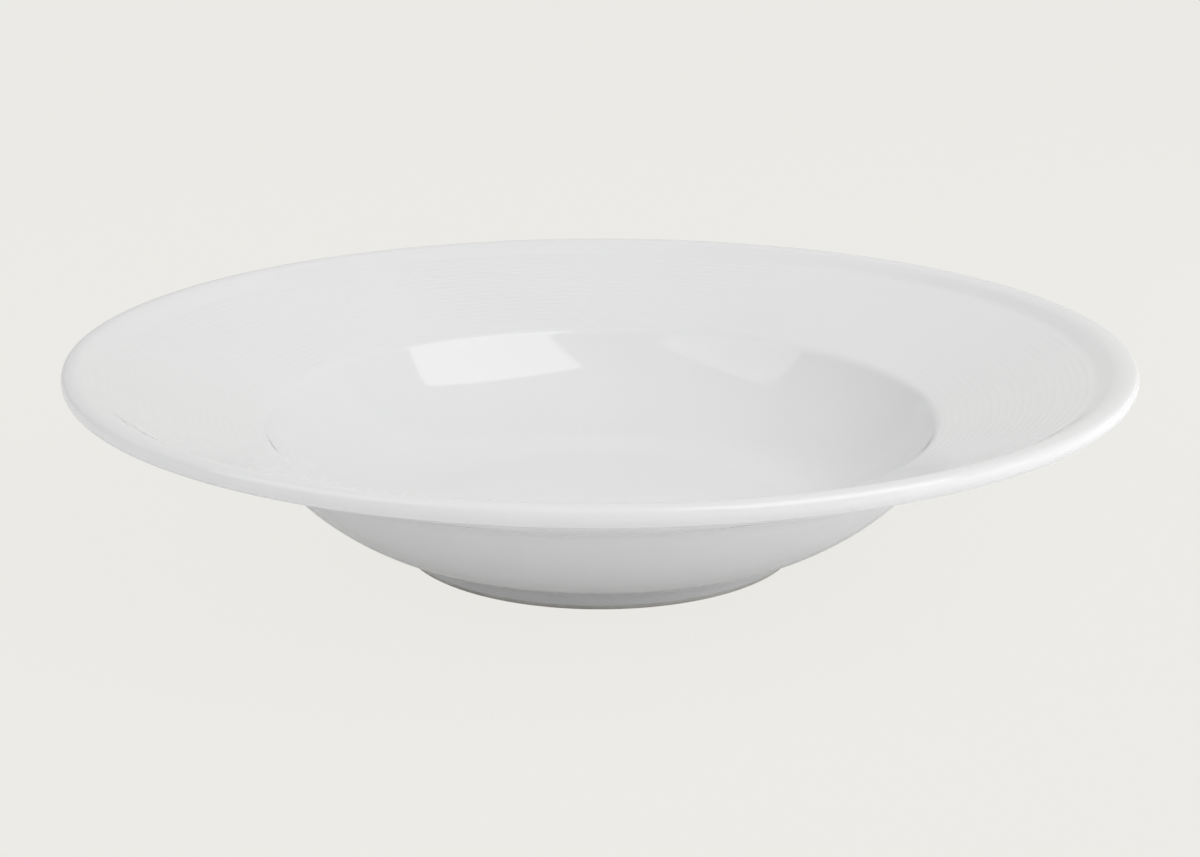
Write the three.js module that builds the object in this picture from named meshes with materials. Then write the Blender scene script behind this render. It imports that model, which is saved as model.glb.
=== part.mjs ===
// A wide-rimmed soup plate of white glazed porcelain, standing on a bare foot ring.
// Millimetres, +Z up. The origin is on the table, under the middle of the plate.
// Every piece is turned about the Z axis, so each is a profile of radius and height, revolved.
import * as THREE from "three";

// Rim
const RIM_DIAMETER = 240; // across the lip
const RIM_SLOPE = 21; // degrees, how steeply the ringed band rises outwards
const RIM_THICKNESS = 3.6; // square to that slope
const LIP_WIDTH = 9.6; // plain band from the last ring to the outer edge
const LIP_RISE = 3.7; // top of the lip above the last ring
const LIP_THICKNESS = 3.8; // the outer edge is rolled to a full round of this thickness
const RING_COUNT = 19; // raised concentric rings
const RING_HEIGHT = 0.05; // crest of a ring above the groove beside it, softened by the glaze

// Well
const WELL_DIAMETER = 154; // across the edge where the rim turns down
const WELL_DEPTH = 25; // from that edge to the middle of the floor
const FLOOR_DISH = 500; // radius of the floor's slight hollow
const WALL_SLOPE = 60; // degrees, steepness of the inner wall just under the edge
const WALL_THICKNESS = 3.5; // just under the edge
const WALL_BULGE = 54; // radius of the outer wall's curve
const EDGE_ROUNDING = 2.4; // length taken off each side of the edge
const UNDERSIDE_ROUNDING = 4; // the same, in the corner of outer wall and rim

// Foot
const BASE_THICKNESS = 2.8; // middle of the floor to the lower end of the outer wall
const FOOT_DIAMETER = 92.8; // outside the ring
const FOOT_HEIGHT = 4; // table to the lower end of the outer wall
const FOOT_WIDTH = 4.6; // of the ring, with the glaze on both sides
const FOOT_ROUNDING = 1.1; // both edges of the standing face, which are wiped bare with it
const FOOT_FILLET = 0.5; // corner of outer wall and foot
const RECESS_DEPTH = 3.4; // table to the glazed ceiling inside the ring
const RECESS_ROUNDING = 1.6; // corner of that ceiling and the ring

// Glaze
const GLAZE_THICKNESS = 0.3; // both coats, from the porcelain to the finished surface
const GLAZE_SEAM = 0.02; // hairline between a coat and the porcelain that it is fused to

// Facets
const TURN_STEPS = 48; // round the axis
const FLOOR_STEPS = 2; // along the floor, from the middle out
const WALL_STEPS = 5; // along the curve of the inner or the outer wall
const LIP_STEPS = 6; // along the round of the lip
const CORNER_STEPS = 3; // along a rounded corner

// Places that follow from the sizes, as radius and height
const rimRadius = RIM_DIAMETER / 2;
const footRadius = FOOT_DIAMETER / 2;
const recessRadius = footRadius - FOOT_WIDTH;
const rimAngle = THREE.MathUtils.degToRad(RIM_SLOPE);
const wallAngle = THREE.MathUtils.degToRad(WALL_SLOPE);
const upSlope = new THREE.Vector2(Math.cos(rimAngle), Math.sin(rimAngle));
const offSlope = new THREE.Vector2(-upSlope.y, upSlope.x);
const floorHeight = FOOT_HEIGHT + BASE_THICKNESS;
const wellEdge = new THREE.Vector2(WELL_DIAMETER / 2, floorHeight + WELL_DEPTH);

// The floor is a wide arc about the axis. The inner wall is a tighter arc that leaves it without a
// crease and reaches the well's edge at WALL_SLOPE: the two circles touch where one runs into the
// other, and that gives the radius of the second.
const wallRun = Math.sin(wallAngle);
const wallFall = Math.cos(wallAngle);
const wellArc =
  (WELL_DEPTH * (2 * FLOOR_DISH - WELL_DEPTH) - wellEdge.x ** 2) /
  (FLOOR_DISH * (1 - wallFall) + WELL_DEPTH * wallFall - wellEdge.x * wallRun) /
  2;
const wellCentre = new THREE.Vector2(-wallRun, wallFall).multiplyScalar(wellArc).add(wellEdge);
const dishCentre = new THREE.Vector2(0, floorHeight + FLOOR_DISH);
const floorEnd = wellCentre.clone().sub(dishCentre).angle() - 2 * Math.PI;

// The ringed band runs straight from the well's edge to the foot of the lip.
const bandLength = (rimRadius - LIP_WIDTH - wellEdge.x) / upSlope.x;
const bandStart = wellEdge.clone().addScaledVector(upSlope, EDGE_ROUNDING);
const bandEnd = wellEdge.clone().addScaledVector(upSlope, bandLength);
const lipRadius = LIP_THICKNESS / 2;
const lipCentre = new THREE.Vector2(
  rimRadius - lipRadius,
  bandEnd.y + LIP_RISE - lipRadius,
);
const underBand = bandEnd.clone().addScaledVector(offSlope, -RIM_THICKNESS);

// Angle round the lip at which the tangent from a point touches it: side 1 above, -1 below.
function tangentAngle(point, side) {
  const reach = lipCentre.clone().sub(point);
  return reach.angle() + side * (Math.asin(lipRadius / reach.length()) + Math.PI / 2);
}

// Where the underside of the rim, run inwards, is WALL_THICKNESS from the inner wall.
function underCorner() {
  const toCentre = wellCentre.clone().sub(underBand);
  const along = toCentre.dot(upSlope);
  const across = toCentre.dot(offSlope);
  const reach = Math.sqrt((wellArc + WALL_THICKNESS) ** 2 - across ** 2);
  return underBand.clone().addScaledVector(upSlope, along + reach);
}

// Centre of the arc of the given radius from one point down to another, bulging outwards.
function bulgeCentre(from, to, radius) {
  const half = to.clone().sub(from).multiplyScalar(0.5);
  const square = new THREE.Vector2(half.y, -half.x).normalize();
  const depth = Math.sqrt(radius ** 2 - half.lengthSq());
  return from.clone().add(half).addScaledVector(square, depth);
}

// Points along an arc, and along a corner rounded from one leg's end to the other's.
function arc(centre, radius, from, to, steps) {
  const clockwise = to < from;
  const curve = new THREE.EllipseCurve(centre.x, centre.y, radius, radius, from, to, clockwise);
  return curve.getPoints(steps);
}
function corner(from, at, to) {
  return new THREE.QuadraticBezierCurve(from, at, to).getPoints(CORNER_STEPS);
}

// Rings from the well's edge outwards: a crest in the middle of each, a groove between two.
function rings() {
  const pitch = bandEnd.distanceTo(bandStart) / RING_COUNT;
  const points = [];
  for (let i = 0; i < RING_COUNT; i += 1) {
    const crest = bandStart.clone().addScaledVector(upSlope, (i + 0.5) * pitch);
    points.push(crest.addScaledVector(offSlope, RING_HEIGHT));
    points.push(bandStart.clone().addScaledVector(upSlope, (i + 1) * pitch));
  }
  return points;
}

// The glazed outline from the middle of the floor, over the lip and down the outside to the foot.
function outside(band) {
  const wallTop = wallAngle - EDGE_ROUNDING / wellArc - Math.PI / 2;
  const floor = arc(dishCentre, FLOOR_DISH, -Math.PI / 2, floorEnd, FLOOR_STEPS);
  const inner = arc(wellCentre, wellArc, floorEnd, wallTop, WALL_STEPS);
  const lipTop = tangentAngle(bandEnd, 1);
  const lip = arc(lipCentre, lipRadius, lipTop, tangentAngle(underBand, -1), LIP_STEPS);
  const shoulder = underCorner();
  const footTop = new THREE.Vector2(footRadius, FOOT_HEIGHT);
  const centre = bulgeCentre(shoulder, footTop, WALL_BULGE);
  const trim = UNDERSIDE_ROUNDING / WALL_BULGE;
  const high = shoulder.clone().sub(centre).angle() - trim;
  const low = footTop.clone().sub(centre).angle() + FOOT_FILLET / WALL_BULGE;
  const outer = arc(centre, WALL_BULGE, high, low, WALL_STEPS);
  const underEnd = shoulder.clone().addScaledVector(upSlope, UNDERSIDE_ROUNDING);
  const footSide = new THREE.Vector2(footRadius, FOOT_HEIGHT - FOOT_FILLET);
  return [
    new THREE.Vector2(0, floorHeight),
    ...floor.slice(1, -1),
    ...inner,
    ...corner(inner.at(-1), wellEdge, bandStart).slice(1),
    ...band,
    ...lip,
    underBand,
    ...corner(underEnd, shoulder, outer[0]).slice(0, -1),
    ...outer,
    ...corner(outer.at(-1), footTop, footSide).slice(1),
    new THREE.Vector2(footRadius, FOOT_ROUNDING),
  ];
}

// The glazed outline inside the foot ring, from its bare edge to the middle of the ceiling.
function recess() {
  const side = new THREE.Vector2(recessRadius, RECESS_DEPTH - RECESS_ROUNDING);
  const top = new THREE.Vector2(recessRadius, RECESS_DEPTH);
  const ceiling = new THREE.Vector2(recessRadius - RECESS_ROUNDING, RECESS_DEPTH);
  return [
    new THREE.Vector2(recessRadius, FOOT_ROUNDING),
    ...corner(side, top, ceiling),
    new THREE.Vector2(0, RECESS_DEPTH),
  ];
}

// The line at a depth under a glazed outline: each point moves in, square to both its sides,
// and a point on the axis stays on it.
function under(outline, depth) {
  return outline.map((point, i) => {
    const before = outline[Math.max(i - 1, 0)];
    const after = outline[Math.min(i + 1, outline.length - 1)];
    const into = i > 0 ? point.clone().sub(before) : after.clone().sub(point);
    const out = i < outline.length - 1 ? after.clone().sub(point) : into.clone();
    into.normalize();
    out.normalize();
    const mean = into.clone().add(out).normalize();
    const inwards = new THREE.Vector2(mean.y, -mean.x);
    const moved = point.clone().addScaledVector(inwards, depth / mean.dot(into));
    return point.x > 0 ? moved : moved.setX(0);
  });
}

// The bare foot between the two coats: both rounded edges and the flat standing face.
function standingFace() {
  const outerSide = footRadius - GLAZE_THICKNESS;
  const innerSide = recessRadius + GLAZE_THICKNESS;
  return [
    ...corner(
      new THREE.Vector2(outerSide, FOOT_ROUNDING),
      new THREE.Vector2(outerSide, 0),
      new THREE.Vector2(outerSide - FOOT_ROUNDING, 0),
    ),
    ...corner(
      new THREE.Vector2(innerSide + FOOT_ROUNDING, 0),
      new THREE.Vector2(innerSide, 0),
      new THREE.Vector2(innerSide, FOOT_ROUNDING),
    ),
  ];
}

// A profile turned about the upright axis. Profiles run with the piece on their right hand.
function turned(name, profile, material) {
  const geometry = new THREE.LatheGeometry([...profile].reverse(), TURN_STEPS);
  geometry.rotateX(Math.PI / 2);
  const mesh = new THREE.Mesh(geometry, material);
  mesh.name = name;
  return mesh;
}

// A closed coat between the finished outline and the porcelain, ends on the axis.
function coat(name, finished, plain, fromMiddle) {
  const inside = under(plain, GLAZE_THICKNESS - GLAZE_SEAM).reverse();
  const profile = fromMiddle ? [...finished, ...inside] : [...inside, ...finished];
  return turned(name, profile, glaze.clone());
}

const porcelain = new THREE.MeshStandardMaterial({ color: 0xe9e6df, roughness: 0.8, metalness: 0 });
const glaze = new THREE.MeshStandardMaterial({ color: 0xf1f1f0, roughness: 0.1, metalness: 0 });

const ringed = outside(rings());
const plain = outside([bandEnd]);
const hollow = recess();

const plate = new THREE.Group();
plate.add(
  // The fired body, bare only where it stands. Its rim is smooth: the rings show in the coat.
  turned(
    "porcelain_body",
    [
      ...under(plain, GLAZE_THICKNESS),
      ...standingFace().slice(1, -1),
      ...under(hollow, GLAZE_THICKNESS),
    ],
    porcelain,
  ),
  // The coat over the well, the ringed rim, the lip and the outside.
  coat("glaze_coat", ringed, plain, true),
  // The coat under the base, cut off from the other by the bare standing face.
  coat("foot_recess_glaze", hollow, hollow, false),
);

export default plate;
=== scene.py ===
# %% [markdown]
# # A white soup plate, turned in numpy
#
# The real plate is pressed from porcelain clay, fired, dipped in clear glaze and fired again.
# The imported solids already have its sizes, so this lesson keeps them as the frame, in metres
# with +Z up, and turns finer surfaces in the same places. Nothing here moves or resizes them.

import bpy
import numpy as np
from mathutils import Matrix, Vector


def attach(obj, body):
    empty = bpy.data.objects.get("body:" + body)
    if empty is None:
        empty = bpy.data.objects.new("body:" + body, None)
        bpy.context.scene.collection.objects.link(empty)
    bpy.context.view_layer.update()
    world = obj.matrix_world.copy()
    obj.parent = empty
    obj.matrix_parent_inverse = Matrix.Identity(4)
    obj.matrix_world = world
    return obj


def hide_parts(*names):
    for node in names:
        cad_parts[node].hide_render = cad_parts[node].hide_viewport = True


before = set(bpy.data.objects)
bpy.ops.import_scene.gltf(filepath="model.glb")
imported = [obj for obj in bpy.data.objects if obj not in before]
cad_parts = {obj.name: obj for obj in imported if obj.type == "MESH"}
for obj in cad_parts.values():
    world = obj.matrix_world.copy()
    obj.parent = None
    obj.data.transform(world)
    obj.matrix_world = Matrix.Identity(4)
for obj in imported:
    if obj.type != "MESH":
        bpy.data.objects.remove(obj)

scene = bpy.context.scene
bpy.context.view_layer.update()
print("packed solids:", sorted(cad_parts))

# %% [markdown]
# ## The camera
#
# The photograph looks down on the plate from a little above its rim. How open the rim's
# ellipse is gives the height, and how much wider the near side looks than the far side gives
# the distance. A camera could be posed by hand, but these few numbers say the same and can be
# read: it stands straight in front (towards -Y) and looks at a point on the plate's axis.

# %% Place the camera
MM = 0.001
IMAGE_WIDTH = 1200  # pixels across the photograph
FOCAL_PIXELS = 2117  # focal length, in the same pixels
CAMERA_DISTANCE = 490.1 * MM
CAMERA_RISE = np.radians(16.5)  # above the horizontal
LOOK_AT_HEIGHT = 27.06 * MM

lens = bpy.data.cameras.new("photo_camera")
lens.sensor_fit = "HORIZONTAL"
lens.sensor_width = 36
lens.lens = lens.sensor_width * FOCAL_PIXELS / IMAGE_WIDTH
camera = bpy.data.objects.new("photo_camera", lens)
scene.collection.objects.link(camera)
look_at = Vector((0, 0, LOOK_AT_HEIGHT))
back = Vector((0, -np.cos(CAMERA_RISE), np.sin(CAMERA_RISE)))
camera.location = look_at + CAMERA_DISTANCE * back
camera.rotation_euler = back.to_track_quat("Z", "Y").to_euler()
scene.camera = camera
print("camera at", [round(v, 4) for v in camera.location])
print("its lens:", round(lens.lens, 1), "mm")

# %% [markdown]
# ## The outline of half a plate
#
# Every piece of a plate is round, so half of its cross-section says everything. The outline is
# a row of points (radius, height). It could be drawn as a curve by hand and spun with a Screw
# modifier. Here arcs, lines and eased corners are worked out from named sizes instead, so that
# a size is changed in one place and the rest follows.

# %% Strokes of an outline
def arc(centre, radius, start, end, count):
    """Points on a circle: centre + radius (cos a, sin a), with a going evenly from start to end."""
    a = np.linspace(start, end, count)
    return centre + radius * np.stack([np.cos(a), np.sin(a)], axis=1)


def eased(start, corner, end, count):
    """A rounded corner: (1-t)^2 start + 2t(1-t) corner + t^2 end, with t going from 0 to 1."""
    t = np.linspace(0, 1, count)[:, None]
    return (1 - t) ** 2 * start + 2 * t * (1 - t) * corner + t**2 * end


def angle_of(vector):
    """The direction of a vector (radius, height), in radians from the outward radius."""
    return np.arctan2(vector[1], vector[0])


def joined(*strokes):
    """Strokes end to end: a stroke that starts where the last one stopped drops that point."""
    kept = [strokes[0]]
    for stroke in strokes[1:]:
        same = np.allclose(stroke[0], kept[-1][-1], atol=1e-7)
        kept.append(stroke[1:] if same else stroke)
    return np.concatenate(kept)


# %% [markdown]
# ### Places on the plate
#
# Four shapes carry the form: a round well, a straight sloping band for the rings, a rolled lip
# and a low foot. Their meeting points are found once here. The lip stands a little steeper than
# the band, which leaves a faint groove between them, and domes over into an upright outer face.

# %% Sizes and meeting points
RIM_RADIUS = 120 * MM
RIM_SLOPE = np.radians(21)
RIM_THICKNESS = 3.6 * MM
LIP_WIDTH = 9.6 * MM
LIP_SLOPE = np.radians(33)  # inner side of the rolled lip
LIP_EASE = 0.9 * MM
LIP_CREST = 117.9 * MM  # radius of the lip's highest circle
LIP_DOME = 7 * MM  # radius of its gently domed top
LIP_TURN = np.radians(6)  # slope at which the dome turns over into the outer face
LIP_FACE = 46 * MM  # height of the plate's widest circle
LIP_BOTTOM = 44.35 * MM
WELL_RADIUS = 77 * MM
WELL_DEPTH = 25 * MM
FLOOR_DISH = 500 * MM  # radius of the floor's slight hollow
WALL_SLOPE = np.radians(60)  # of the well's wall, at its edge
WALL_THICKNESS = 3.5 * MM
WALL_BULGE = 54 * MM  # radius of the outer wall's arc
EDGE_EASE = 1.3 * MM
UNDERSIDE_EASE = 4 * MM
BASE_THICKNESS = 2.8 * MM
FOOT_RADIUS = 46.4 * MM
FOOT_HEIGHT = 4 * MM
FOOT_FILLET = 0.5 * MM
BARE_EDGE = 1.1 * MM  # height at which the glaze was wiped off the foot

up_slope = np.array([np.cos(RIM_SLOPE), np.sin(RIM_SLOPE)])
off_slope = np.array([-up_slope[1], up_slope[0]])
floor_height = FOOT_HEIGHT + BASE_THICKNESS
well_edge = np.array([WELL_RADIUS, floor_height + WELL_DEPTH])
band_start = well_edge + EDGE_EASE * up_slope
band_end = well_edge + (RIM_RADIUS - LIP_WIDTH - WELL_RADIUS) / up_slope[0] * up_slope
under_band = band_end - RIM_THICKNESS * off_slope
up_lip = np.array([np.cos(LIP_SLOPE), np.sin(LIP_SLOPE)])
lip_foot = band_end + LIP_EASE * up_slope
lip_run = (LIP_CREST - lip_foot[0] - LIP_DOME * up_lip[1]) / up_lip[0]
dome_centre = lip_foot + lip_run * up_lip + LIP_DOME * np.array([up_lip[1], -up_lip[0]])
foot_top = np.array([FOOT_RADIUS, FOOT_HEIGHT])
print("lip's top at", round((dome_centre[1] + LIP_DOME) / MM, 2), "mm")
print("well's floor at", round(floor_height / MM, 2), "mm")


# %% Corners that need working out
def wall_arc():
    """Radius of the inner wall, a circle that touches the floor's wide circle from inside and
    passes the well's edge at the wall's slope. With depth d, floor radius f, edge radius e and
    slope a: (d (2f - d) - e^2) / 2 (f (1 - cos a) + d cos a - e sin a)."""
    run, fall = np.sin(WALL_SLOPE), np.cos(WALL_SLOPE)
    above = WELL_DEPTH * (2 * FLOOR_DISH - WELL_DEPTH) - WELL_RADIUS**2
    below = FLOOR_DISH * (1 - fall) + WELL_DEPTH * fall - WELL_RADIUS * run
    return above / below / 2


def rolled_lip(count):
    """The lip from its inner side to its underside: a wide arc over the top, a corner turned into
    the upright outer face, and a second corner turned under towards the band's underside."""
    dome = arc(dome_centre, LIP_DOME, np.pi / 2 + LIP_SLOPE, np.pi / 2 - LIP_TURN, count)
    over = RIM_RADIUS - dome[-1, 0]
    upper = dome[-1] + over * np.array([1, -np.tan(LIP_TURN)])
    widest = np.array([RIM_RADIUS, LIP_FACE])
    lower = np.array([RIM_RADIUS, LIP_BOTTOM])
    home = under_band - lower
    tucked = lower + home * (lower[0] - LIP_CREST) / np.hypot(*home)
    return joined(dome, eased(dome[-1], upper, widest, count), eased(widest, lower, tucked, count))


def under_corner():
    """Where the rim's underside meets the outer wall: the line of the underside crosses the
    circle that is one wall's thickness outside the inner wall."""
    reach = well_centre - under_band
    across = reach @ off_slope
    along = np.sqrt((well_arc + WALL_THICKNESS) ** 2 - across**2)
    return under_band + (reach @ up_slope + along) * up_slope


def bulge_centre(top, bottom, radius):
    """Centre of the outer wall's arc: from the middle of its chord, square to it and inwards, by
    the root of the radius squared less half the chord squared."""
    half = (bottom - top) / 2
    square = np.array([half[1], -half[0]]) / np.hypot(*half)
    return top + half + square * np.sqrt(radius**2 - half @ half)


well_arc = wall_arc()
well_centre = well_edge + well_arc * np.array([-np.sin(WALL_SLOPE), np.cos(WALL_SLOPE)])
dish_centre = np.array([0, floor_height + FLOOR_DISH])
floor_end = angle_of(well_centre - dish_centre)
shoulder = under_corner()
wall_centre = bulge_centre(shoulder, foot_top, WALL_BULGE)
print("outer wall starts", round(shoulder[0] / MM, 2), "mm from the axis")

# %% [markdown]
# ### Rings on the rim
#
# The rim carries fine raised rings, pressed by the mould and softened by the glaze. They could
# be left to a bump texture, but then they would be missing from its silhouette and from the
# mesh. They are real relief here: a cosine along the slope.

# %% The ringed band
RING_COUNT = 19
RING_HEIGHT = 0.036 * MM
ROWS_PER_RING = 8


def ringed_band():
    """Band point = straight slope + square-to-slope * height (1 - cos(2 pi rings u)) / 2."""
    u = np.linspace(0, 1, RING_COUNT * ROWS_PER_RING + 1)[:, None]
    crest = (1 - np.cos(2 * np.pi * RING_COUNT * u)) / 2
    return band_start + (band_end - band_start) * u + off_slope * RING_HEIGHT * crest


def plain_band():
    """The same band without rings, for the surfaces under the glaze."""
    return np.linspace(band_start, band_end, 4)


print("ring pitch", round(np.hypot(*(band_end - band_start)) / RING_COUNT / MM, 3), "mm")


# %% The outline from the middle of the well to the foot
def glazed_outline(band, rows):
    """Floor, inner wall, eased edge, band, lip, underside, outer wall and foot, in that order.

    rows is the number of points along a wall; the shorter strokes get a share of it."""
    wall_top = WALL_SLOPE - EDGE_EASE / well_arc - np.pi / 2
    few, some = max(rows // 6, 3), max(rows // 3, 5)
    floor = arc(dish_centre, FLOOR_DISH, -np.pi / 2, floor_end, some)
    inner = arc(well_centre, well_arc, floor_end, wall_top, rows)
    lip = rolled_lip(some)
    lip_start = lip_foot + LIP_EASE * up_lip
    high = angle_of(shoulder - wall_centre) - UNDERSIDE_EASE / WALL_BULGE
    low = angle_of(foot_top - wall_centre) + FOOT_FILLET / WALL_BULGE
    outer = arc(wall_centre, WALL_BULGE, high, low, rows)
    under_end = shoulder + UNDERSIDE_EASE * up_slope
    foot_side = foot_top - np.array([0, FOOT_FILLET])
    return joined(
        floor,
        inner,
        eased(inner[-1], well_edge, band_start, some),
        band,
        eased(band_end, lip_foot, lip_start, some),
        np.linspace(lip_start, lip[0], 3),
        lip,
        np.linspace(lip[-1], under_band, few),
        np.linspace(under_band, under_end, some),
        eased(under_end, shoulder, outer[0], some),
        outer,
        eased(outer[-1], foot_top, foot_side, few),
        np.linspace(foot_side, (FOOT_RADIUS, BARE_EDGE), 3),
    )


def sunk(outline, depth):
    """The outline moved into the clay by a depth, square to its course.

    Each point moves along the mean of its two neighbouring normals, by depth over the cosine of
    half the turn there, so that straight runs stay exactly parallel."""
    step = np.diff(outline, axis=0)
    step /= np.hypot(step[:, 0], step[:, 1])[:, None]
    before = np.concatenate([step[:1], step])
    after = np.concatenate([step, step[-1:]])
    mean = before + after
    mean /= np.hypot(mean[:, 0], mean[:, 1])[:, None]
    inwards = np.stack([mean[:, 1], -mean[:, 0]], axis=1)
    return outline + inwards * (depth / (mean * before).sum(axis=1))[:, None]


# %% [markdown]
# ## Turning an outline into a piece
#
# A turned surface is a grid of two parameters: the place along the outline and the angle round
# the axis. All its points come from one multiplication of arrays. The two ends of the outline lie
# on the axis, where a grid would pinch to a point, so each end gets a single point and a fan of
# triangles. That leaves a closed mesh with no seam.

# %% Turn an outline
TURNS = 240


def turned(name, outline):
    """x = r cos a, y = r sin a, z = h, for each outline point (r, h) and TURNS angles a.

    Faces run along the outline first and then round it, so they point to its left-hand side."""
    a = np.arange(TURNS) * (2 * np.pi / TURNS)
    ring = outline[1:-1]
    grid = np.empty((len(ring), TURNS, 3))
    grid[..., 0] = ring[:, :1] * np.cos(a)
    grid[..., 1] = ring[:, :1] * np.sin(a)
    grid[..., 2] = ring[:, 1:]
    ends = np.array([[0, 0, outline[0, 1]], [0, 0, outline[-1, 1]]])
    points = np.concatenate([grid.reshape(-1, 3), ends])

    here = np.arange(TURNS)
    after = (here + 1) % TURNS
    row = np.arange(len(ring) - 1)[:, None] * TURNS
    quads = np.stack([row + here, row + TURNS + here, row + TURNS + after, row + after], axis=-1)
    first, last = len(points) - 2, len(points) - 1
    end_row = (len(ring) - 1) * TURNS
    fans = np.concatenate([
        np.stack([np.full(TURNS, first), here, after], axis=1),
        np.stack([end_row + here, np.full(TURNS, last), end_row + after], axis=1),
    ])
    return surface(name, points, quads.reshape(-1, 4), fans)


def surface(name, points, quads, triangles):
    """A mesh object from arrays: quads first, then triangles, all shaded smooth."""
    mesh = bpy.data.meshes.new(name)
    corners = np.concatenate([quads.ravel(), triangles.ravel()]).astype(np.int32)
    sides = np.concatenate([np.full(len(quads), 4), np.full(len(triangles), 3)])
    starts = np.concatenate([[0], np.cumsum(sides)[:-1]])
    mesh.vertices.add(len(points))
    mesh.vertices.foreach_set("co", points.astype(np.float32).ravel())
    mesh.loops.add(len(corners))
    mesh.loops.foreach_set("vertex_index", corners)
    mesh.polygons.add(len(sides))
    mesh.polygons.foreach_set("loop_start", starts.astype(np.int32))
    mesh.polygons.foreach_set("use_smooth", np.ones(len(sides), bool))
    mesh.update(calc_edges=True)
    mesh.validate()
    made = bpy.data.objects.new(name, mesh)
    scene.collection.objects.link(made)
    print(name, "has", len(points), "points and", 2 * len(quads) + len(triangles), "triangles")
    return made


# %% [markdown]
# ## The coat of glaze
#
# The glaze is a skin a third of a millimetre thick, and it is what the eye sees: well, rings, lip
# and outside. A Solidify modifier could thicken one surface, but it would copy the rings to the
# inside, where the clay has none. So the coat is turned as a closed skin, out along the finished
# surface and back along the clay. Where it was wiped from the foot it ends in a small round bead.

# %% Turn the coat
GLAZE = 0.3 * MM
SEAM = 0.02 * MM  # hairline kept between the coat and the clay
FINE_ROWS = 36
PLAIN_ROWS = 15
BEAD_ROWS = 5

finished = glazed_outline(ringed_band(), FINE_ROWS)
beneath = glazed_outline(plain_band(), PLAIN_ROWS)
bead = eased(
    np.array([FOOT_RADIUS, BARE_EDGE + GLAZE]),
    np.array([FOOT_RADIUS, BARE_EDGE]),
    np.array([FOOT_RADIUS - GLAZE + SEAM, BARE_EDGE]),
    BEAD_ROWS,
)
coat_outline = joined(finished[:-1], bead, sunk(beneath, GLAZE - SEAM)[::-1])
coat_outline[[0, -1], 0] = 0
glaze_coat = turned("glaze_over_plate", coat_outline)
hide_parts("glaze_coat")
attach(glaze_coat, "root")

# %% [markdown]
# ## The fired body
#
# Under the glaze is the white clay. It shows in one place only: the ring that the plate stands on,
# which is wiped clean so that it doesn't stick to the kiln shelf. The body is turned whole all the
# same, because the mesh should be the real piece and not a loose strip.

# %% Turn the body and the glaze under its base
FOOT_WIDTH = 4.6 * MM
RECESS_DEPTH = 3.4 * MM
RECESS_EASE = 1.6 * MM
CORNER_ROWS = 8
recess_radius = FOOT_RADIUS - FOOT_WIDTH


def recess_outline():
    """From the bare edge inside the foot ring, up its side, round the corner and to the axis."""
    corner = np.array([recess_radius, RECESS_DEPTH])
    side = corner - np.array([0, RECESS_EASE])
    ceiling = corner - np.array([RECESS_EASE, 0])
    return joined(
        np.linspace((recess_radius, BARE_EDGE), side, 3),
        eased(side, corner, ceiling, CORNER_ROWS),
        np.linspace(ceiling, (0, RECESS_DEPTH), CORNER_ROWS),
    )


def standing_face():
    """The bare foot: an eased edge, a level ring and another eased edge."""
    outside, inside = FOOT_RADIUS - GLAZE, recess_radius + GLAZE
    flat = np.array([[outside - BARE_EDGE, 0], [inside + BARE_EDGE, 0]])
    corners = np.array([[outside, 0], [inside, 0]])
    bare = corners + np.array([0, BARE_EDGE])
    return joined(
        eased(bare[0], corners[0], flat[0], CORNER_ROWS),
        np.linspace(flat[0], flat[1], 5),
        eased(flat[1], corners[1], bare[1], CORNER_ROWS),
    )


hollow = recess_outline()
body_outline = joined(sunk(beneath, GLAZE), standing_face(), sunk(hollow, GLAZE))
body_outline[[0, -1], 0] = 0
fired_body = turned("fired_body", body_outline)
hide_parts("porcelain_body")
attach(fired_body, "root")

under_outline = joined(sunk(hollow, GLAZE - SEAM)[::-1], hollow)
under_outline[[0, -1], 0] = 0
base_glaze = turned("glaze_under_base", under_outline)
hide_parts("foot_recess_glaze")
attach(base_glaze, "root")


# %% [markdown]
# ## Finishes
#
# White glaze is never one flat white. Its colour drifts a little where it ran thicker, it carries
# a few dark specks from the kiln, and its skin is faintly wavy, which bends the edges of the
# reflections. A painted picture could carry the colour, but it would need a seam somewhere. Here
# it is all worked out from Object coordinates, in metres, so that one unit of a pattern is the
# same on every piece.

# %% A short way to write nodes
def add(tree, kind, sockets=(), **settings):
    """A node of that kind, with its settings and the values of its named or numbered sockets."""
    made = tree.nodes.new(kind)
    for name, value in settings.items():
        setattr(made, name, value)
    for name, value in dict(sockets).items():
        if isinstance(value, bpy.types.NodeSocket):
            tree.links.new(value, made.inputs[name])
        else:
            made.inputs[name].default_value = value
    return made


def started(name):
    """A new material's node tree with its surface shader and its Object coordinates."""
    material = bpy.data.materials.new(name)
    material.use_nodes = True
    tree = material.node_tree
    shader = tree.nodes["Principled BSDF"]
    place = add(tree, "ShaderNodeTexCoord").outputs["Object"]
    return material, tree, shader, place


def blended(tree, factor, low, high):
    """Colour mix: low where the factor is 0, high where it is 1."""
    mixed = add(tree, "ShaderNodeMix", data_type="RGBA")
    tree.links.new(factor, mixed.inputs["Factor"])
    for socket, value in ((mixed.inputs[6], low), (mixed.inputs[7], high)):
        if isinstance(value, bpy.types.NodeSocket):
            tree.links.new(value, socket)
        else:
            socket.default_value = value
    return mixed.outputs[2]


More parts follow.
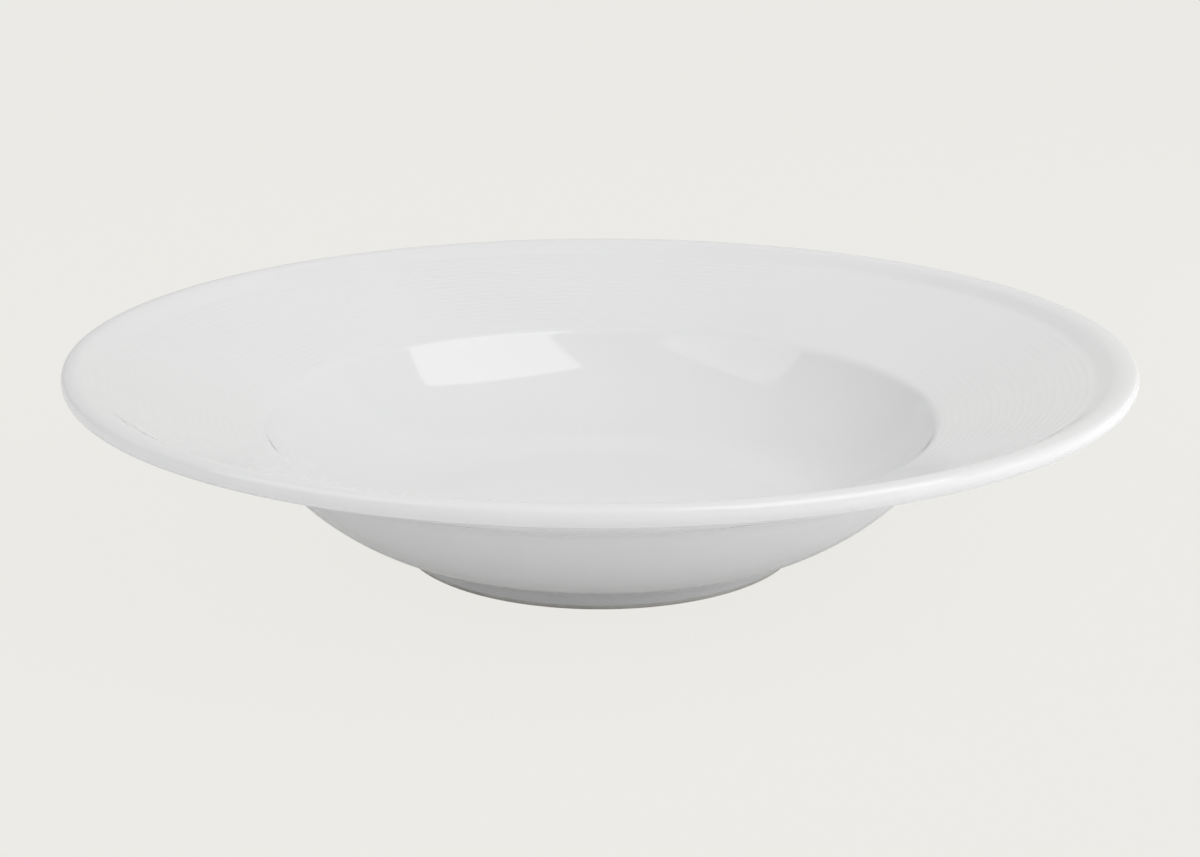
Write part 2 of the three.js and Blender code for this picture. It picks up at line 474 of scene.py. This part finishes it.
def spread(tree, value, low, high, to_low=0.0, to_high=1.0):
    """Map Range: a value from low to high becomes one from to_low to to_high, clamped."""
    numbers = {
        "Value": value,
        "From Min": low,
        "From Max": high,
        "To Min": to_low,
        "To Max": to_high,
    }
    return add(tree, "ShaderNodeMapRange", numbers).outputs["Result"]


def worked_out(tree, operation, *values):
    """Math: the result of one operation on two or three values."""
    made = add(tree, "ShaderNodeMath", enumerate(values), operation=operation)
    return made.outputs[0]


def noise(tree, place, scale, detail):
    """Soft random patches between 0 and 1, about scale of them to the metre, with finer detail."""
    made = add(tree, "ShaderNodeTexNoise", {"Vector": place, "Scale": scale, "Detail": detail})
    return made.outputs[0]


def raised(tree, height, distance, strength=1.0, under=None):
    """Bump: tilts the surface as if a height of 1 stood that distance, in metres, above a 0."""
    numbers = {"Height": height, "Strength": strength, "Distance": distance}
    made = add(tree, "ShaderNodeBump", numbers)
    if under is not None:
        tree.links.new(under, made.inputs["Normal"])
    return made.outputs[0]


# %% White glaze: colour and specks
GLAZE_WHITE = (0.879, 0.880, 0.883, 1)
GLAZE_THICK = (0.866, 0.867, 0.870, 1)
SPECK = (0.34, 0.30, 0.26, 1)
DRIFT_SCALE = 22  # patches of thicker glaze to the metre
DRIFT_SPAN = (0.35, 0.65)  # the noise values between which the two whites blend
SPECK_CELLS = 60  # cells to the metre
SPECK_RARE = (0.90, 0.92)  # a cell may hold a speck if its random number, 0 to 1, is above these
SPECK_CORE, SPECK_EDGE = 0.010, 0.022  # radii, as shares of a cell
SPECK_DEPTH = 0.75  # how much of the speck's colour shows at its core

white_glaze, tree, shader, place = started("white_glaze")
drift = noise(tree, place, DRIFT_SCALE, 3)
tint = blended(tree, spread(tree, drift, *DRIFT_SPAN), GLAZE_WHITE, GLAZE_THICK)
cells = add(tree, "ShaderNodeTexVoronoi", {"Vector": place, "Scale": SPECK_CELLS})
chosen = add(tree, "ShaderNodeSeparateColor", {"Color": cells.outputs["Color"]})
rare = spread(tree, chosen.outputs[0], *SPECK_RARE)
near = spread(tree, cells.outputs["Distance"], SPECK_CORE, SPECK_EDGE, SPECK_DEPTH, 0.0)
colour = blended(tree, worked_out(tree, "MULTIPLY", rare, near), tint, SPECK)
tree.links.new(colour, shader.inputs["Base Color"])

# %% White glaze: gloss and waves
GLAZE_INDEX = 1.55  # how strongly the glaze bends light, a little more than window glass
GLOSSIEST, DULLEST = 0.03, 0.08  # roughness
NOISE_SPAN = (0.3, 0.7)  # noise seldom goes past these values
SMEAR_SCALE = 75
WAVE_SCALE, WAVE_HEIGHT = 45, 0.010 * MM
PEEL_SCALE, PEEL_HEIGHT = 650, 0.0006 * MM

smear = noise(tree, place, SMEAR_SCALE, 4)
gloss = spread(tree, smear, *NOISE_SPAN, GLOSSIEST, DULLEST)
tree.links.new(gloss, shader.inputs["Roughness"])
shader.inputs["IOR"].default_value = GLAZE_INDEX
wavy = raised(tree, noise(tree, place, WAVE_SCALE, 1), WAVE_HEIGHT)
skin = raised(tree, noise(tree, place, PEEL_SCALE, 1), PEEL_HEIGHT, under=wavy)
tree.links.new(skin, shader.inputs["Normal"])
glaze_coat.data.materials.append(white_glaze)
base_glaze.data.materials.append(white_glaze)
print("white glaze:", len(tree.nodes), "nodes")

# %% [markdown]
# The bare clay is matt and a little warmer, with a grain as fine as flour. Standing on tables has
# rubbed faint grey marks into it. The grain could be modelled, but it is far finer than a pixel,
# so two sizes of noise stand for the marks and the grain.

# %% Bare porcelain
CLAY = (0.76, 0.74, 0.70, 1)
CLAY_RUBBED = (0.60, 0.58, 0.55, 1)
RUBBED_SCALE, RUBBED_SPAN = 180, (0.45, 0.75)
MATT, MATTEST = 0.7, 0.9  # roughness
GRAIN_SCALE, GRAIN_HEIGHT, GRAIN_STRENGTH = 4000, 0.05 * MM, 0.6

bare_porcelain, tree, shader, place = started("bare_porcelain")
rubbed = spread(tree, noise(tree, place, RUBBED_SCALE, 4), *RUBBED_SPAN)
tree.links.new(blended(tree, rubbed, CLAY, CLAY_RUBBED), shader.inputs["Base Color"])
flour = noise(tree, place, GRAIN_SCALE, 2)
tree.links.new(spread(tree, flour, *NOISE_SPAN, MATT, MATTEST), shader.inputs["Roughness"])
tree.links.new(raised(tree, flour, GRAIN_HEIGHT, GRAIN_STRENGTH), shader.inputs["Normal"])
fired_body.data.materials.append(bare_porcelain)
print("bare porcelain:", len(tree.nodes), "nodes")

# %% [markdown]
# ## The studio
#
# The photograph was lit by a large softbox on the right, a weaker one on the left and white
# surroundings. A pale sweep of paper runs under the plate and up behind it. A large plane could
# stand in for it, but its far edge would show as a horizon, so the floor bends up into a wall.

# %% Paper sweep
SWEEP_FRONT, SWEEP_BEND = -4.0, 1.6  # where the floor starts and where it begins to bend, along y
SWEEP_RADIUS = 0.6
SWEEP_ROWS = 24  # round the bend
SWEEP_TOP = 2.85
SWEEP_HALF = 4.0  # half of its width


def paper_sweep():
    """A level floor that bends up into a wall: an outline (y, z) carried along x."""
    centre = np.array([SWEEP_BEND, SWEEP_RADIUS])
    bend = arc(centre, SWEEP_RADIUS, -np.pi / 2, 0, SWEEP_ROWS)
    floor = np.linspace((SWEEP_FRONT, 0), bend[0], 4)
    wall = np.linspace(bend[-1], (SWEEP_BEND + SWEEP_RADIUS, SWEEP_TOP), 3)
    outline = joined(floor, bend, wall)
    points = np.empty((len(outline), 2, 3))
    points[..., 0] = (-SWEEP_HALF, SWEEP_HALF)
    points[..., 1:] = outline[:, None, :]
    row = np.arange(len(outline) - 1)[:, None] * 2
    quads = row + np.array([0, 1, 3, 2])
    return surface("paper_sweep", points.reshape(-1, 3), quads, np.empty((0, 3), int))


sweep = paper_sweep()

# %% [markdown]
# Part of what the camera sees of the paper is its plain colour, so the background stays even, and
# the rest is lit, so it keeps the plate's shadow. Reflections in the glaze see the same mixture
# in other shares: less of the plain colour close to the plate, where its shadow lies, and none
# on the far left, which is away from the lamps.

# %% The paper's look
PAPER = (0.839, 0.831, 0.799, 1)
PAPER_LIT = (0.92, 0.92, 0.92, 1)
PAPER_EVEN = 0.96  # share of plain colour in what the camera sees
PAPER_NEAR = 0.3  # the same share in reflections, by the plate
PAPER_LEFT, PAPER_RIGHT = 0.0, 0.75  # and away from it, on the dim left and the lit right
CLOSE_BY, FAR_OFF = 0.15, 1.0  # metres from the middle of the plate
DIM_FROM, LIT_FROM = -0.85, -0.3  # metres along x

paper = bpy.data.materials.new("pale_paper")
paper.use_nodes = True
tree = paper.node_tree
tree.nodes.clear()
lit = add(tree, "ShaderNodeBsdfDiffuse", {"Color": PAPER_LIT})
even = add(tree, "ShaderNodeEmission", {"Color": PAPER, "Strength": 1})
ray = add(tree, "ShaderNodeLightPath").outputs
place = add(tree, "ShaderNodeTexCoord").outputs["Object"]
away = add(tree, "ShaderNodeVectorMath", {0: place}, operation="LENGTH").outputs["Value"]
aside = add(tree, "ShaderNodeSeparateXYZ", {"Vector": place}).outputs["X"]
far = spread(tree, aside, DIM_FROM, LIT_FROM, PAPER_LEFT, PAPER_RIGHT)
reflected = spread(tree, away, CLOSE_BY, FAR_OFF, PAPER_NEAR, far)
mirror = worked_out(tree, "MAXIMUM", ray["Is Glossy Ray"], ray["Is Transmission Ray"])
mirrored = worked_out(tree, "MULTIPLY", mirror, reflected)
share = worked_out(tree, "MULTIPLY_ADD", ray["Is Camera Ray"], PAPER_EVEN, mirrored)
mixed = add(tree, "ShaderNodeMixShader", {0: share, 1: lit.outputs[0], 2: even.outputs[0]})
add(tree, "ShaderNodeOutputMaterial", {"Surface": mixed.outputs[0]})
sweep.data.materials.append(paper)
print("paper:", len(tree.nodes), "nodes")

# %% [markdown]
# Two softboxes give the bright patches in the well and along the lip. A low softbox at the right
# and a strip that hangs over the paper there lift the outside of the well, which faces down and
# sees mostly paper. Small lamps would be simpler, but a gloss glaze mirrors the lamp itself, so
# each one has the size and the tilt of the patch that it leaves. The rest is an even white room.

# %% Lamps
def panel(name, stand, width, height, radiance):
    """A rectangular lamp that shines down the -Z axis of its stand, a matrix.

    A lamp of this kind with power w and area s has a radiance of w / (pi s)."""
    lamp = bpy.data.lights.new(name, "AREA")
    lamp.shape = "RECTANGLE"
    lamp.size, lamp.size_y = width, height
    lamp.energy = radiance * np.pi * width * height
    made = bpy.data.objects.new(name, lamp)
    made.matrix_world = stand
    scene.collection.objects.link(made)
    spot = [round(v, 2) for v in stand.translation]
    print(name, "at", spot, "gives", round(lamp.energy, 1), "W")


def softbox(name, azimuth, rise, roll, sides, distance, radiance):
    """A panel seen from the plate in one direction, with its plane square to it.

    azimuth is in degrees from the camera's side towards the right, rise is above the table, and
    roll turns it in its own plane. sides are its left, right, low and high edges as tangents of
    angles."""
    turn, lift, spin = np.radians([azimuth, rise, roll])
    out = np.array([np.sin(turn) * np.cos(lift), -np.cos(turn) * np.cos(lift), np.sin(lift)])
    level = np.array([np.cos(turn), np.sin(turn), 0])
    upright = np.cross(out, level)
    across = np.cos(spin) * level + np.sin(spin) * upright
    along = np.cos(spin) * upright - np.sin(spin) * level
    left, right, low, high = sides
    middle = distance * (out + across * (left + right) / 2 + along * (low + high) / 2)
    stand = Matrix.Translation(middle) @ Matrix((across, along, out)).transposed().to_4x4()
    panel(name, stand, distance * (right - left), distance * (high - low), radiance)


softbox(
    "key_softbox", azimuth=44, rise=50, roll=-8,
    sides=(-0.22, 0.60, -0.48, 0.46), distance=1.3, radiance=1.75,
)
softbox(
    "fill_softbox", azimuth=-93, rise=50, roll=24,
    sides=(-0.07, 0.76, -0.80, 0.14), distance=1.3, radiance=0.8,
)
softbox(
    "side_softbox", azimuth=75, rise=9, roll=0,
    sides=(-0.30, 0.30, -0.14, 0.14), distance=1.4, radiance=0.7,
)
over_paper = Matrix.Translation((0.45, 0, 0.08))
panel("paper_strip", over_paper, width=0.36, height=0.6, radiance=1.2)

# %% The room
ROOM_LIGHT = 0.52  # radiance of the white surroundings

world = bpy.data.worlds.new("studio_room")
world.use_nodes = True
glow = world.node_tree.nodes["Background"]
glow.inputs["Color"].default_value = (1, 1, 1, 1)
glow.inputs["Strength"].default_value = ROOM_LIGHT
scene.world = world
scene.view_settings.view_transform = "Standard"
print("the room's radiance:", ROOM_LIGHT)
